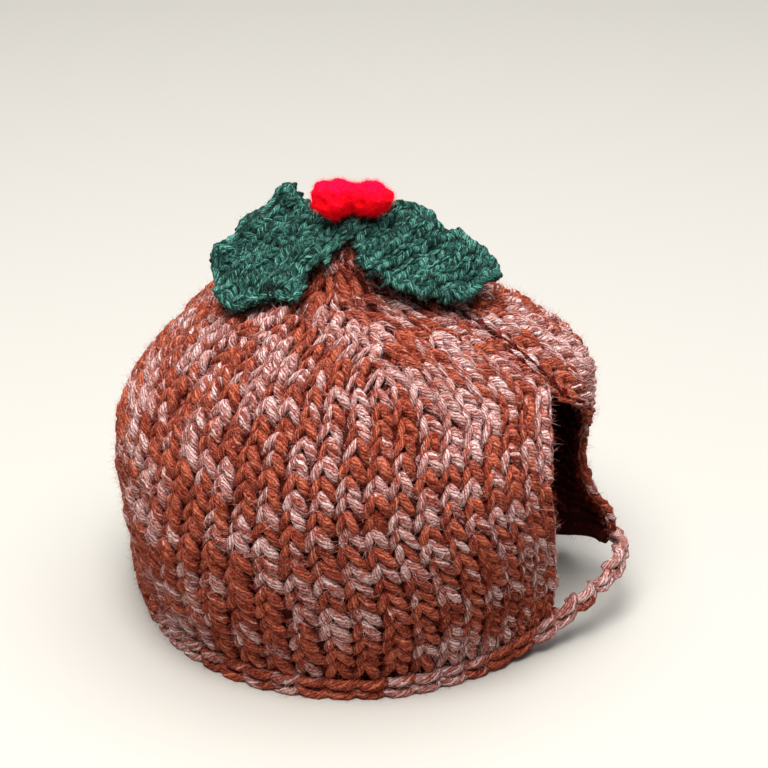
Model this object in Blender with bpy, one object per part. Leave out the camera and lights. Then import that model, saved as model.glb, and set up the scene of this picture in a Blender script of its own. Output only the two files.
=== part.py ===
"""A knitted tea cosy: two wool panels gathered into a peak, two holly leaves and two felted berries.

The cosy stands on its hem with nothing inside. +X is the side of the spout, -X the side of the
handle, -Y the front panel and +Y the back panel. Lengths are in metres, angles in degrees. An
azimuth is 0 at the spout's seam, -90 at the front and 180 at the handle's seam.
"""

import math

import bmesh
import bpy
import numpy as np

MM = 0.001

# The origin is under the middle of the whole object's box, this far from the body's axis.
ORIGIN = (5.21 * MM, 0.34 * MM)

# The body: one meridian, from the hem to the tip of the crown.
MERIDIAN_MM = (
    # (radius, height)
    (60.5, 0.0),
    (64.8, 8.0),
    (68.6, 20.0),
    (71.4, 35.0),
    (72.4, 50.0),
    (70.0, 66.0),
    (63.5, 79.0),
    (54.0, 90.0),
    (42.5, 98.5),
    (31.0, 103.8),
    (21.5, 107.0),
    (14.6, 110.3),
    (10.9, 114.2),
    (7.4, 117.9),
    (3.8, 120.9),
    (0.2, 122.0),
)
KNIT_THICK = 4.5 * MM
CROWN_FILL_RADIUS = 13.0 * MM  # inside this the gathered knit fills the peak
CEILING = 100.6 * MM  # the underside of the filled peak
LEAST_RADIUS = 0.2 * MM
SEAM_GAP = 0.3 * MM
HEM_EDGE_HEIGHT = 5.0 * MM  # the cast-off edge that runs on below both slits

# The panels' grids.
COLUMNS = 40
ROWS = 33
ROW_CROWDING = 1.22  # above 1 the rows lie closer towards the crown
STRIP_COLUMNS = 3

# What the teapot did to the cloth, side by side: where, how wide, how far.
SPOUT_PUSH = {"at": 13.0, "spread": 24.0, "lift": 17.0 * MM, "out": 22.0 * MM}
HANDLE_PUSH = {"at": 180.0, "spread": 22.0, "lift": 9.3 * MM, "out": 9.0 * MM}
LIFT_FLAT = 0.3 * MM  # a lift smaller than this is none: there the hem lies flat
LIFT_FADE = 30.0 * MM
OUT_FADE = 26.0 * MM
SHOULDER = {"at": 24.0, "spread": 27.0, "height": 79.0 * MM, "fade": 19.0 * MM}
SHOULDER_OUT = 10.0 * MM
SHOULDER_UP = 2.0 * MM

# The slits: how far each panel's edge stands back from the seam, by height.
SLIT_EDGES = {
    # (height mm, degrees back from the seam)
    "front_spout": (
        (0.0, 9.3),
        (25.0, 10.0),
        (42.0, 11.5),
        (57.0, 14.5),
        (66.0, 12.0),
        (74.0, 9.0),
        (79.0, 5.5),
        (84.0, 0.0),
    ),
    "back_spout": (
        (0.0, 16.0),
        (48.0, 18.0),
        (61.0, 13.5),
        (68.0, 8.0),
        (76.0, 1.5),
        (79.0, 0.0),
    ),
    "front_handle": ((0.0, 8.5), (66.0, 8.5), (73.0, 5.0), (78.0, 0.0)),
    "back_handle": ((0.0, 8.5), (66.0, 8.5), (73.0, 5.0), (78.0, 0.0)),
}

# Folds: the crown's gathers, one deeper gather in front, and slow unevenness.
GATHERS = 15
GATHER_DEPTH = 2.2 * MM
GATHER_FULL_RADIUS = 12.0 * MM
GATHER_END_RADIUS = 50.0 * MM
DEEP_GATHER = {"at": -127.0, "spread": 4.0, "depth": 2.6 * MM, "from": 74.0 * MM, "to": 104.0 * MM}
SEAM_GROOVE = {"spread": 4.0, "depth": 1.8 * MM, "from": 72.0 * MM}
UNEVEN = 0.7 * MM

# The trimmings are sewn on a little askew: turned about +Z by this many degrees.
TRIM_TURN = 20.0
LEAF_THICK = 2.8 * MM
LEAF_COLUMNS = 10
LEAF_ROWS = 22
LEAVES = {
    "leaf_left": {
        "root": (-1.3, 0.0, 125.0),
        "vein": (-43.0, -9.0, -20.5),
        "tilt": 28.5,
        "bend": 0.0008,
        "cup": 0.002,
        # (along the vein, back edge, front edge), mm
        "outline": (
            (0.0, -4.6, 2.4),
            (4.0, -6.4, 3.8),
            (8.0, -10.0, 5.2),
            (9.4, -25.0, 5.4),
            (11.5, -26.6, 5.6),
            (17.0, -23.0, 4.6),
            (19.5, -21.6, 8.0),
            (22.0, -22.2, 16.6),
            (25.0, -21.4, 16.4),
            (29.0, -19.8, 12.4),
            (33.0, -18.0, 10.6),
            (38.0, -17.0, 9.2),
            (41.0, -13.4, 8.4),
            (43.2, -5.0, 6.2),
            (44.0, -2.0, 1.0),
        ),
    },
    "leaf_right": {
        "root": (1.3, 0.0, 125.2),
        "vein": (47.0, -7.0, -17.0),
        "tilt": 28.5,
        "bend": 0.0010,
        "cup": 0.002,
        "outline": (
            (0.0, -4.4, 2.4),
            (2.5, -6.0, 6.0),
            (5.0, -7.6, 13.0),
            (8.0, -12.0, 15.2),
            (12.0, -15.4, 15.0),
            (17.0, -16.2, 16.8),
            (20.0, -15.2, 17.6),
            (23.0, -11.8, 16.4),
            (27.0, -11.4, 15.0),
            (30.5, -13.2, 13.4),
            (34.5, -10.4, 12.6),
            (38.5, -9.0, 10.4),
            (41.0, -8.8, 3.4),
            (43.6, -7.2, 1.2),
            (45.0, -4.4, -1.8),
        ),
    },
}
BERRIES = {
    # centre and half sizes, mm
    "berry_left": {"centre": (-5.9, -0.25, 132.35), "half": (6.2, 5.8, 6.2)},
    "berry_right": {"centre": (6.3, 0.0, 132.2), "half": (5.9, 5.7, 5.5)},
}
BERRY_LUMP = 0.05
BERRY_SEGMENTS = 20
BERRY_RINGS = 12

MATERIALS = {
    "marled_wool": {"colour": (0.42, 0.13, 0.08), "roughness": 0.95},
    "green_wool": {"colour": (0.01, 0.08, 0.06), "roughness": 0.95},
    "red_wool": {"colour": (0.75, 0.01, 0.02), "roughness": 0.95},
}


def clear_scene():
    for obj in list(bpy.data.objects):
        bpy.data.objects.remove(obj)


def wool(name):
    """The Principled material of this name."""
    if name in bpy.data.materials:
        return bpy.data.materials[name]
    material = bpy.data.materials.new(name)
    material.use_nodes = True
    shader = material.node_tree.nodes["Principled BSDF"]
    shader.inputs["Base Color"].default_value = (*MATERIALS[name]["colour"], 1.0)
    shader.inputs["Roughness"].default_value = MATERIALS[name]["roughness"]
    shader.inputs["Metallic"].default_value = 0.0
    return material


def smooth_curve(points, steps):
    """A Catmull-Rom curve through the points, with this many steps between two."""
    points = np.asarray(points, float)
    ends = np.vstack([2 * points[0] - points[1], points, 2 * points[-1] - points[-2]])
    place = np.linspace(0, len(points) - 1, (len(points) - 1) * steps + 1)
    left = np.minimum(place.astype(int), len(points) - 2)
    f = (place - left)[:, None]
    a, b, c, d = (ends[left + k] for k in range(4))
    square = 2 * a - 5 * b + 4 * c - d
    cube = 3 * b - a - 3 * c + d
    return 0.5 * (2 * b + (c - a) * f + square * f**2 + cube * f**3)


MERIDIAN = smooth_curve(np.array(MERIDIAN_MM) * MM, 24)
WAY = np.concatenate([[0.0], np.cumsum(np.linalg.norm(np.diff(MERIDIAN, axis=0), axis=1))])
MERIDIAN_LENGTH = float(WAY[-1])


def around(theta, middle):
    """The angle from middle to theta, between -180 and 180."""
    return (theta - middle + 180.0) % 360.0 - 180.0


def hill(distance, spread):
    return math.exp(-((distance / spread) ** 2))


def smooth_step(x, low, high):
    t = min(max((x - low) / (high - low), 0.0), 1.0)
    return t * t * (3 - 2 * t)


def gather_depth(theta, radius, z):
    """How far the folds draw the cloth in at this place."""
    wander = theta + 5.0 * math.sin(math.radians(2.0 * theta + 40.0))
    ripple = 0.5 - 0.5 * math.cos(math.radians(GATHERS * wander))
    fade = 1.0 - smooth_step(radius, GATHER_FULL_RADIUS, GATHER_END_RADIUS)
    depth = GATHER_DEPTH * ripple * fade * min(1.0, radius / GATHER_FULL_RADIUS)
    deep = DEEP_GATHER
    along = smooth_step(z, deep["from"], deep["from"] + 10 * MM)
    along *= 1.0 - smooth_step(z, deep["to"] - 8 * MM, deep["to"])
    depth += deep["depth"] * along * hill(around(theta, deep["at"]), deep["spread"])
    seam = SEAM_GROOVE
    for middle in (0.0, 180.0):
        near = hill(around(theta, middle), seam["spread"])
        above = smooth_step(z, seam["from"], seam["from"] + 12 * MM)
        depth += seam["depth"] * near * above * smooth_step(radius, 8 * MM, 25 * MM)
    return depth


def unevenness(theta, radius, z):
    """A slow in and out of the hand-knit cloth, none at the hem's foot and at the peak."""
    turn = math.radians(theta)
    rise = z / (20 * MM)
    wave = math.sin(3 * turn + 1.1 * rise) + 0.7 * math.sin(5 * turn - 1.7 * rise + 2.0)
    return UNEVEN * wave * smooth_step(z, 6 * MM, 25 * MM) * smooth_step(radius, 12 * MM, 40 * MM)


def cloth_point(theta, way, depth):
    """A point of the cloth: its azimuth, its way up the meridian, and its depth below the outside."""
    radius = float(np.interp(way, WAY, MERIDIAN[:, 0]))
    z = float(np.interp(way, WAY, MERIDIAN[:, 1]))
    step = 1.5 * MM
    ahead = [np.interp(way + step, WAY, MERIDIAN[:, k]) for k in (0, 1)]
    behind = [np.interp(way - step, WAY, MERIDIAN[:, k]) for k in (0, 1)]
    slope = math.hypot(ahead[0] - behind[0], ahead[1] - behind[1])
    out = (ahead[1] - behind[1]) / slope
    up = -(ahead[0] - behind[0]) / slope
    flat_hem = smooth_step(z, 0.0, 6 * MM)  # the hem's foot is level
    inward = gather_depth(theta, radius, z) - unevenness(theta, radius, z) + depth
    inner_radius = radius - inward * out
    inner_z = z - inward * up * flat_hem
    if depth > 0.0 and inner_radius < CROWN_FILL_RADIUS and z > 90 * MM:
        inner_radius = CROWN_FILL_RADIUS * min(radius / (CROWN_FILL_RADIUS + depth), 1.0)
        inner_z = min(inner_z, CEILING)
    radius, z = max(inner_radius, LEAST_RADIUS), inner_z
    for push in (SPOUT_PUSH, HANDLE_PUSH):
        near = hill(around(theta, push["at"]), push["spread"])
        radius += push["out"] * near * hill(z, OUT_FADE)
        z += max(push["lift"] * near - LIFT_FLAT, 0.0) * hill(z, LIFT_FADE)
    bulge = hill(around(theta, SHOULDER["at"]), SHOULDER["spread"])
    bulge *= hill(z - SHOULDER["height"], SHOULDER["fade"]) * smooth_step(radius, 8 * MM, 30 * MM)
    radius += SHOULDER_OUT * bulge
    z += SHOULDER_UP * bulge
    turn = math.radians(theta)
    return radius * math.cos(turn), radius * math.sin(turn), z


def slit_angle(edge, height):
    """Degrees that this panel edge stands back from the seam at this height."""
    table = np.array(SLIT_EDGES[edge])
    return float(np.interp(height / MM, table[:, 0], table[:, 1]))


def row_ways():
    """The rows' ways up the meridian: the hem, the top of its edge, then closer towards the crown."""
    share = np.linspace(0.0, 1.0, ROWS)
    rest = 1.0 - (1.0 - share) ** ROW_CROWDING
    return [0.0, *(HEM_EDGE_HEIGHT + rest * (MERIDIAN_LENGTH - HEM_EDGE_HEIGHT))]


def panel(name, side, spout_edge, handle_edge):
    """A panel as a grid of cloth points, thickened inwards. side is -1 for the front, +1 for the back."""
    bm = bmesh.new()
    turn_layer = bm.verts.layers.float.new("azimuth")
    way_layer = bm.verts.layers.float.new("way")

    def add_point(theta, way):
        vert = bm.verts.new(cloth_point(theta, way, 0.0))
        vert[turn_layer] = theta
        vert[way_layer] = way
        return vert

    def strip(rows):
        for low, high in zip(rows[:-1], rows[1:]):
            for k in range(len(low) - 1):
                bm.faces.new((low[k], low[k + 1], high[k + 1], high[k]))

    rows = []
    for way in row_ways():
        height = float(np.interp(way, WAY, MERIDIAN[:, 1]))
        first = slit_angle(spout_edge, height)
        last = 180.0 - slit_angle(handle_edge, height)
        angles = np.linspace(first, last, COLUMNS + 1)
        rows.append([add_point(side * theta, way) for theta in angles])
    strip(rows)
    # Below the slits the hem's edge runs on to both seams.
    for end, seam in ((0, 0.0), (-1, 180.0)):
        edge = [row[end] for row in rows[:2]]
        start = abs(edge[0][turn_layer])
        angles = np.linspace(start, seam, STRIP_COLUMNS + 1)[1:]
        strip([[vert, *(add_point(side * theta, vert[way_layer]) for theta in angles)] for vert in edge])
    made = bmesh.ops.extrude_face_region(bm, geom=bm.faces[:])
    for item in made["geom"]:
        if isinstance(item, bmesh.types.BMVert):
            item.co = cloth_point(item[turn_layer], item[way_layer], KNIT_THICK)
    for vert in bm.verts:
        vert.co.y += side * SEAM_GAP / 2
    bmesh.ops.recalc_face_normals(bm, faces=bm.faces[:])
    return finished(bm, name, "marled_wool")


def finished(bm, name, material):
    """The object of this mesh, brought to the origin, shaded smooth, with its material."""
    for vert in bm.verts:
        vert.co.x -= ORIGIN[0]
        vert.co.y -= ORIGIN[1]
    mesh = bpy.data.meshes.new(name)
    bm.to_mesh(mesh)
    bm.free()
    mesh.materials.append(wool(material))
    mesh.shade_smooth()
    mesh.set_sharp_from_angle(angle=math.radians(50))
    obj = bpy.data.objects.new(name, mesh)
    bpy.context.scene.collection.objects.link(obj)
    return obj


def trim_point(x, y, z):
    """A point of a trimming, from millimetres in its own frame."""
    turn = math.radians(TRIM_TURN)
    across = x * math.cos(turn) - y * math.sin(turn)
    away = x * math.sin(turn) + y * math.cos(turn)
    return across * MM, away * MM, z * MM


def leaf_frame(leaf):
    """The leaf's root, and its unit vectors along the vein, towards the front edge and up."""
    vein = np.array(leaf["vein"])
    vein /= np.linalg.norm(vein)
    tilt = math.radians(leaf["tilt"])
    front = np.array([0.0, -math.cos(tilt), -math.sin(tilt)])
    front -= vein * front.dot(vein)
    front /= np.linalg.norm(front)
    up = np.cross(vein, front)
    return np.array(leaf["root"]), vein, front, up * math.copysign(1.0, up[2])


def leaf_panel(name, leaf):
    """A holly leaf: a sheet between its back and its front edge, drooping away from its vein."""
    root, vein, front, up = leaf_frame(leaf)
    outline = np.array(leaf["outline"])
    bm = bmesh.new()
    rows = []
    for along in np.linspace(0.0, outline[-1, 0], LEAF_ROWS + 1):
        edges = [np.interp(along, outline[:, 0], outline[:, k]) for k in (1, 2)]
        row = []
        for across in np.linspace(*edges, LEAF_COLUMNS + 1):
            droop = leaf["bend"] * along**2 + leaf["cup"] * across**2
            row.append(bm.verts.new(trim_point(*(root + along * vein + across * front - droop * up))))
        rows.append(row)
    for low, high in zip(rows[:-1], rows[1:]):
        for k in range(LEAF_COLUMNS):
            bm.faces.new((low[k], low[k + 1], high[k + 1], high[k]))
    bmesh.ops.recalc_face_normals(bm, faces=bm.faces[:])
    obj = finished(bm, name, "green_wool")
    thicken = obj.modifiers.new("Thickness", "SOLIDIFY")
    thicken.thickness = LEAF_THICK
    thicken.offset = 0.0
    thicken.use_even_offset = True
    return obj


def berry(name, spec):
    """A felted ball, a little lumpy."""
    bm = bmesh.new()
    bmesh.ops.create_uvsphere(bm, u_segments=BERRY_SEGMENTS, v_segments=BERRY_RINGS, radius=1.0)
    for vert in bm.verts:
        x, y, z = vert.co
        lump = 1.0 - BERRY_LUMP * (0.5 + 0.5 * math.sin(4.0 * x + 1.0) * math.sin(4.0 * y + 2.0 * z))
        vert.co = trim_point(*(c + h * k * lump for c, h, k in zip(spec["centre"], spec["half"], vert.co)))
    return finished(bm, name, "red_wool")


def main():
    clear_scene()
    panel("front_panel", -1, "front_spout", "front_handle")
    panel("back_panel", 1, "back_spout", "back_handle")
    for name, leaf in LEAVES.items():
        leaf_panel(name, leaf)
    for name, spec in BERRIES.items():
        berry(name, spec)


main()
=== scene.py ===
"""A knitted tea cosy: two panels of marled wool, two knitted holly leaves and two felted berries.

Lengths are in metres, angles in degrees. An azimuth is 0 at the spout's seam, -90 at the front and 180 at
the handle's seam. A way is a length up the cloth from the hem.
"""

import functools
import math

import bmesh
import bpy
import numpy as np
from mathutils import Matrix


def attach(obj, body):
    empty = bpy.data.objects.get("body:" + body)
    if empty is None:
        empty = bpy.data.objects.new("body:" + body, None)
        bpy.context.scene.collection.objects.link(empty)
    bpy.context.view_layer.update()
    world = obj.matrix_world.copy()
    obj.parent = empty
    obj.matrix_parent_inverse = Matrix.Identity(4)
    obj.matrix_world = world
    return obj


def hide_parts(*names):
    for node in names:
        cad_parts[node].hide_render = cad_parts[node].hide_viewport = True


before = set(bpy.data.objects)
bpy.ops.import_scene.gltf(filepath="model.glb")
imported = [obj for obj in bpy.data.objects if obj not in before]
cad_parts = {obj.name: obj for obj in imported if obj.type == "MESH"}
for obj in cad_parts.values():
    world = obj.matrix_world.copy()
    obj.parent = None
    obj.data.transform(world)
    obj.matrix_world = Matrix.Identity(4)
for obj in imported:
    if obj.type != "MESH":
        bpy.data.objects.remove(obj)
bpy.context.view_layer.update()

MM = 0.001
ORIGIN = np.array((5.21, 0.34, 0.0)) * MM  # under the middle of the box, from the body's axis

# The body, as the part's source has it.
MERIDIAN_MM = (  # (radius, height)
    (60.5, 0.0), (64.8, 8.0), (68.6, 20.0), (71.4, 35.0), (72.4, 50.0), (70.0, 66.0), (63.5, 79.0),
    (54.0, 90.0), (42.5, 98.5), (31.0, 103.8), (21.5, 107.0), (14.6, 110.3), (10.9, 114.2), (7.4, 117.9),
    (3.8, 120.9), (0.2, 122.0),
)
SEAM_GAP = 0.3 * MM
# Where the pot's spout and handle push the foot out and up.
SPOUT_PUSH = {"at": 13.0, "spread": 24.0, "lift": 17.0 * MM, "out": 22.0 * MM}
HANDLE_PUSH = {"at": 180.0, "spread": 22.0, "lift": 9.3 * MM, "out": 9.0 * MM}
LIFT_FLAT = 0.3 * MM
LIFT_FADE = 30.0 * MM
OUT_FADE = 26.0 * MM
# The cloth swells over the spout's root.
SHOULDER = {"at": 24.0, "spread": 27.0, "height": 79.0 * MM, "fade": 19.0 * MM}
SHOULDER_OUT = 10.0 * MM
SHOULDER_UP = 2.0 * MM
# The slits' edges: (height mm, degrees back from the seam).
HANDLE_SLIT = ((0.0, 8.5), (66.0, 8.5), (73.0, 5.0), (78.0, 0.0))
FRONT_SLIT = (
    (0.0, 9.3), (25.0, 10.0), (42.0, 11.5), (57.0, 14.5), (66.0, 12.0), (74.0, 9.0), (79.0, 5.5), (84.0, 0.0),
)
BACK_SLIT = ((0.0, 16.0), (48.0, 18.0), (61.0, 13.5), (68.0, 8.0), (76.0, 1.5), (79.0, 0.0))
PANELS = {  # which side of the seams it is on, and its slits by the spout and by the handle
    "front_panel": (-1, (FRONT_SLIT, HANDLE_SLIT)),
    "back_panel": (1, (BACK_SLIT, HANDLE_SLIT)),
}
GATHERS = 15
GATHER_DEPTH = 2.2 * MM
GATHER_FULL_RADIUS = 12.0 * MM
GATHER_END_RADIUS = 50.0 * MM
DEEP_GATHER = {"at": -127.0, "spread": 4.0, "depth": 2.6 * MM, "from": 74.0 * MM, "to": 104.0 * MM}
SEAM_GROOVE = {"spread": 4.0, "depth": 1.8 * MM, "from": 72.0 * MM}
UNEVEN = 0.7 * MM

TRIM_TURN = 20.0  # how far the holly is turned on the cosy
# A leaf's root and vein are in mm from the peak's axis. Its outline has places along the vein, and the back
# and front edge at each (mm). fan turns its stitches outwards, in degrees for each mm from the vein.
LEAVES = {
    "leaf_left": {
        "root": (-1.3, 0.0, 125.0),
        "vein": (-43.0, -9.0, -20.5),
        "tilt": 28.5,
        "bend": 0.0008,
        "cup": 0.002,
        "knit_turn": 12.0,
        "fan": 1.6,
        "outline": (
            (0.0, -4.6, 3.4), (4.0, -6.4, 5.2), (8.0, -10.0, 6.4), (9.4, -26.0, 8.4), (11.5, -27.4, 8.6),
            (17.0, -22.4, 7.4), (19.5, -21.8, 10.6), (22.0, -22.6, 16.8), (25.0, -22.0, 16.6),
            (29.0, -19.8, 12.4), (33.0, -18.0, 10.6), (38.0, -17.0, 9.2), (41.0, -13.4, 8.4),
            (43.2, -5.0, 6.2), (44.0, -2.0, 1.0),
        ),
    },
    "leaf_right": {
        "root": (1.3, 0.0, 125.2),
        "vein": (47.0, -7.0, -17.0),
        "tilt": 28.5,
        "bend": 0.0010,
        "cup": 0.002,
        "knit_turn": -57.0,
        "fan": 1.2,
        "outline": (
            (0.0, -4.4, 2.4), (2.5, -6.0, 6.0), (5.0, -7.6, 13.0), (8.0, -12.0, 15.2), (12.0, -15.4, 15.0),
            (17.0, -16.2, 16.8), (20.0, -15.2, 17.6), (23.0, -11.8, 16.4), (27.0, -11.4, 15.0),
            (30.5, -13.2, 13.4), (34.5, -10.4, 12.6), (38.5, -9.0, 10.4), (41.0, -8.8, 3.4),
            (43.6, -7.2, 1.2), (45.0, -4.4, -1.8),
        ),
    },
}
BERRIES = {  # centre and half sizes, mm
    "berry_left": {"centre": (-5.2, -0.25, 133.1), "half": (5.9, 5.3, 5.0), "taper": 0.1, "far": -1.0},
    "berry_right": {"centre": (5.5, 0.0, 132.8), "half": (6.3, 5.3, 4.9), "taper": 0.34, "far": 1.0},
}
BERRY_LUMPS = ((3.2, 0.05, 5), (7.0, 0.05, 6), (14.0, 0.024, 7))  # (waves round it, height, how many)
BERRY_BLUNT = 2.2  # 2 is a ball, and more is nearer to a block

# The panels' knitting.
COURSE = 5.3 * MM  # a row's height
WALES = 25  # columns in a panel
LEAST_WALES = 6  # what is left of them at the peak
NARROWEST = 6.2 * MM  # a narrower column is knitted together with the next
HEM_TOP = 8.0 * MM
SLIM_RADIUS = 8.0 * MM
PINK_RUN = (2, 9)  # legs of stitches
RUST_RUN = (2, 9)
DYE_GAIN = 2.0
PEAK_RUST = (34.0 * MM, 20.0 * MM)  # short of the tip, where the pink gives way to rust
YARN_ROUGH = 0.8 * MM  # how far the noise that makes each leg uneven reaches
PEAK_LEFT = 0.8 * MM  # the way short of the tip where the last row ends
PEAK_SHRINK = 1.04  # more than 1 makes the rows lower towards the tip
PEAK_PINK = 0.45  # the share of the pink that is left at the tip
MAX_JOINS = 3  # pairs of columns knitted together in a row
# How far a stitch strays from its place: with both its legs, and then each leg by itself.
STRAY_UP = (0.22, 0.14)  # mm
STRAY_OUT = (0.2, 0.14)  # mm
STRAY_ALONG = 0.035  # of a column's width, as the next is of each of its sizes
STRAY_SIZE = 0.05
NEXT_SHADE = 0.37  # the step in shade from a stitch's first leg to its second
ROLL_RADIUS = 2.4 * MM
ROLL_TURN = 165.0
SEWN = 0.8  # the share of its inset that an edge loses where it is sewn to the other panel
ROLL_SHARE = 0.04  # a rolled edge's share of the panel's width
FULL_SHARE = 1 + 2 * ROLL_SHARE
BACKING_DEPTH = 3.6 * MM  # of the cloth behind the stitches
BACKING_THICK = 1.2 * MM
# The cast-off edge.
HEM_STRETCH = 0.26  # how far the columns spread towards the front's middle at the hem
HEM_HEIGHT = 9.0 * MM  # of the foot's flat map
HEM_MIDDLE = 4.1 * MM  # the chain's middle line, up from the foot
HEM_WIDTH = 5.7 * MM
HEM_LINK = 8.4 * MM
HEM_FLARE = 1.8 * MM  # how far the chain's lower cord stands out under the upper one
HEM_END = 0.55  # the end links' share of the chain's width
HEM_TUCK = 2.2 * MM  # how far the lowest row reaches down behind it
HEM_STRAY = (0.04, 0.12, 0.15)  # of a link's length along it, and mm up and out
HEM_NEXT_SHADE = 0.41
# The leaves' knitting, in mm where it has no unit.
LEAF_THICK = 2.8 * MM
LEAF_CLOTH = 0.9 * MM
LEAF_WALE = 4.2
LEAF_COURSE = 2.5
LEAF_EDGE_STEP = 1.9
LEAF_LUMPS = 1.0
LEAF_START = 20.0  # along the vein, where the middle stitch lies
LEAF_INSET = 0.7  # a leg's least depth inside the outline
UNDER_INSET = 0.1  # the same under the berries
LEAF_CLEAR = 6.0  # along the vein, where the leaf comes out from under them
LEAF_SWING = 8.0  # how far a stitch turns, in degrees
LEAF_FALL = (-0.55, 0.9)  # how far the face falls at the outline, and how soon it is level again
EDGE_REACH = 1.4  # the edge's direction is taken from this far behind to this far ahead
EDGE_LEAN = (16.0, 12.0)  # of the yarn round the edge, in degrees, and how far it strays
LEAF_ROOT = (-3.4, -3.6, 3.0)  # the stitches start short of the outline's table, under the berries
LEAF_MAP = 80.0  # the side of the square that a leaf's flat map covers
LEAF_MIDDLE = (15.0, 40.0)  # the vein's start on it
# Painted light and shade, and fibres.
BERRY_SHEEN_HEIGHTS = (140.6 * MM, 148.2 * MM)  # the heights between which the felt is painted pinker, a painted sheen on its top
HAIR_WIDTH = 0.013  # of a hair a unit long. The longest are thicker than real ones, or they wouldn't show
STRAIGHT_HAIRS = 0.7  # the share of the hairs that don't curl
SHORTEST_HAIR = 0.2  # of the longest
EDGE_LIGHT = -0.5 * MM  # the yarn round a leaf's edge takes no more painted shade than at this depth
UNDER_LIGHT = -1.1 * MM  # the same for the leaf's lower side
SUNK_LIGHT = 0.36  # painted shade: the share of its colour that yarn deep between the stitches keeps

# The loose fibres: how many to a square metre, the longest, how far they lean over and how deep they start.
FUZZ = {
    "panel": {"Density": 5.0e5, "Longest": 4.2 * MM, "Lean": math.radians(92.0), "Least height": -2.4 * MM},
    "leaf": {"Density": 4.8e5, "Longest": 3.2 * MM, "Lean": math.radians(90.0), "Least height": -1.6 * MM},
    "berry": {"Density": 9.0e6, "Longest": 2.4 * MM, "Lean": math.radians(84.0), "Least height": -1.0},
}
STRANDS = 8.0  # in a yarn
# The camera stands this far round from the front and up (degrees), and looks at a point over the floor.
CAMERA_TURN = 20.0
CAMERA_RISE = 28.0
CAMERA_AWAY = 0.7
CAMERA_AIM = (0.0, 0.0, 0.055)
CAMERA_FOCUS = 2263.0  # in pixels of the render, as its shift is
CAMERA_SHIFT = (32.2, 48.5)
RENDER_WIDTH = 768.0
SENSOR = 36.0
LAMP_AIM = (0.0, 0.0, 0.06)
LAMPS = (  # (name, place, size, power, colour)
    ("key", (0.0, -0.42, 1.1), 0.7, 17.5, (1.0, 0.98, 0.96)),
    ("sky", (0.1, 0.12, 1.25), 1.6, 25.0, (0.95, 0.97, 1.0)),
)

# One leg of each kind of stitch, in mm: the yarn's way down from the top of its cell, its radius on the way,
# and the cell's width and height. A tube of yarn has so many sides and rings.
HEM_PATH = ((0.7, 1.6, -2.2), (1.2, 0.0, -0.5), (1.7, -4.0, 0.9), (1.6, -8.0, -0.1), (1.0, -9.6, -2.0))
PANEL_YARN = {"cell": (8.05, 5.3), "sides": 8, "rings": 6}
HEM_YARN = {**PANEL_YARN, "radii": (0.95, 1.45, 1.7, 1.5, 1.0), "cell": (5.6, 8.4)}
LEAF_YARN = {"cell": (4.2, 2.5), "sides": 7, "rings": 5}
LEGS = {
    "left_leg": {
        **PANEL_YARN,
        "path": (
            (-0.6, 1.2, -3.6), (-0.8, 0.0, -2.3), (-1.9, -2.7, -2.0), (-2.8, -5.4, -2.7), (-3.0, -6.6, -4.1),
        ),
        "radii": (0.95, 1.35, 1.5, 1.35, 0.9),
    },
    "right_leg": {
        **PANEL_YARN,
        "path": (
            (-0.2, 1.1, -3.6), (0.4, 0.0, -2.2), (1.9, -2.6, -1.65), (3.2, -5.1, -2.5), (3.5, -6.4, -4.1),
        ),
        "radii": (1.0, 1.6, 1.85, 1.6, 0.95),
    },
    "purl_bump": {
        **PANEL_YARN,
        "path": (
            (-3.9, -1.2, -3.0), (-2.2, 0.0, -3.9), (0.0, 1.1, -4.2), (2.2, 0.0, -3.9), (3.9, -1.2, -3.0),
        ),
        "radii": (1.1, 1.25, 1.3, 1.25, 1.1),
        "sides": 5,
        "rings": 4,
    },
    "hem_upper": {**HEM_YARN, "path": tuple((-x, y, z) for x, y, z in HEM_PATH)},
    "hem_lower": {**HEM_YARN, "path": HEM_PATH},
    "leaf_left_leg": {
        **LEAF_YARN,
        "path": (
            (0.0, 0.6, -1.35), (-0.2, 0.0, -0.95), (-0.9, -1.2, -0.75), (-1.5, -2.4, -1.0),
            (-1.6, -3.0, -1.4),
        ),
        "radii": (0.6, 0.9, 1.06, 0.9, 0.6),
    },
    "leaf_right_leg": {
        **LEAF_YARN,
        "path": (
            (0.0, 0.6, -1.35), (0.2, 0.0, -0.95), (0.9, -1.2, -0.65), (1.5, -2.4, -1.0), (1.6, -3.0, -1.4),
        ),
        "radii": (0.6, 0.95, 1.12, 0.95, 0.6),
    },
    "leaf_edge_leg": {
        **LEAF_YARN,
        "path": ((0.0, 0.8, -0.9), (0.0, 0.0, -0.2), (0.0, -1.3, 0.1), (0.0, -2.6, -0.2), (0.0, -3.4, -0.9)),
        "radii": (0.7, 1.0, 1.15, 1.0, 0.7),
    },
}

MATH = "ShaderNodeMath"
VECTOR = "ShaderNodeVectorMath"
MIX = "ShaderNodeMix"
NOISE = "ShaderNodeTexNoise"
RANGE = "ShaderNodeMapRange"
SPLIT = "ShaderNodeSeparateXYZ"
ATTRIBUTE = "GeometryNodeInputNamedAttribute"
RANDOM = "FunctionNodeRandomValue"


# ---------------------------------------------------------------- numbers


def around(theta, middle):
    """The angle from middle to theta, between -180 and 180."""
    return (theta - middle + 180.0) % 360.0 - 180.0


def hill(distance, spread):
    return np.exp(-((distance / spread) ** 2))


def smooth_step(x, low, high):
    t = np.clip((x - low) / (high - low), 0.0, 1.0)
    return t * t * (3 - 2 * t)


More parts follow.
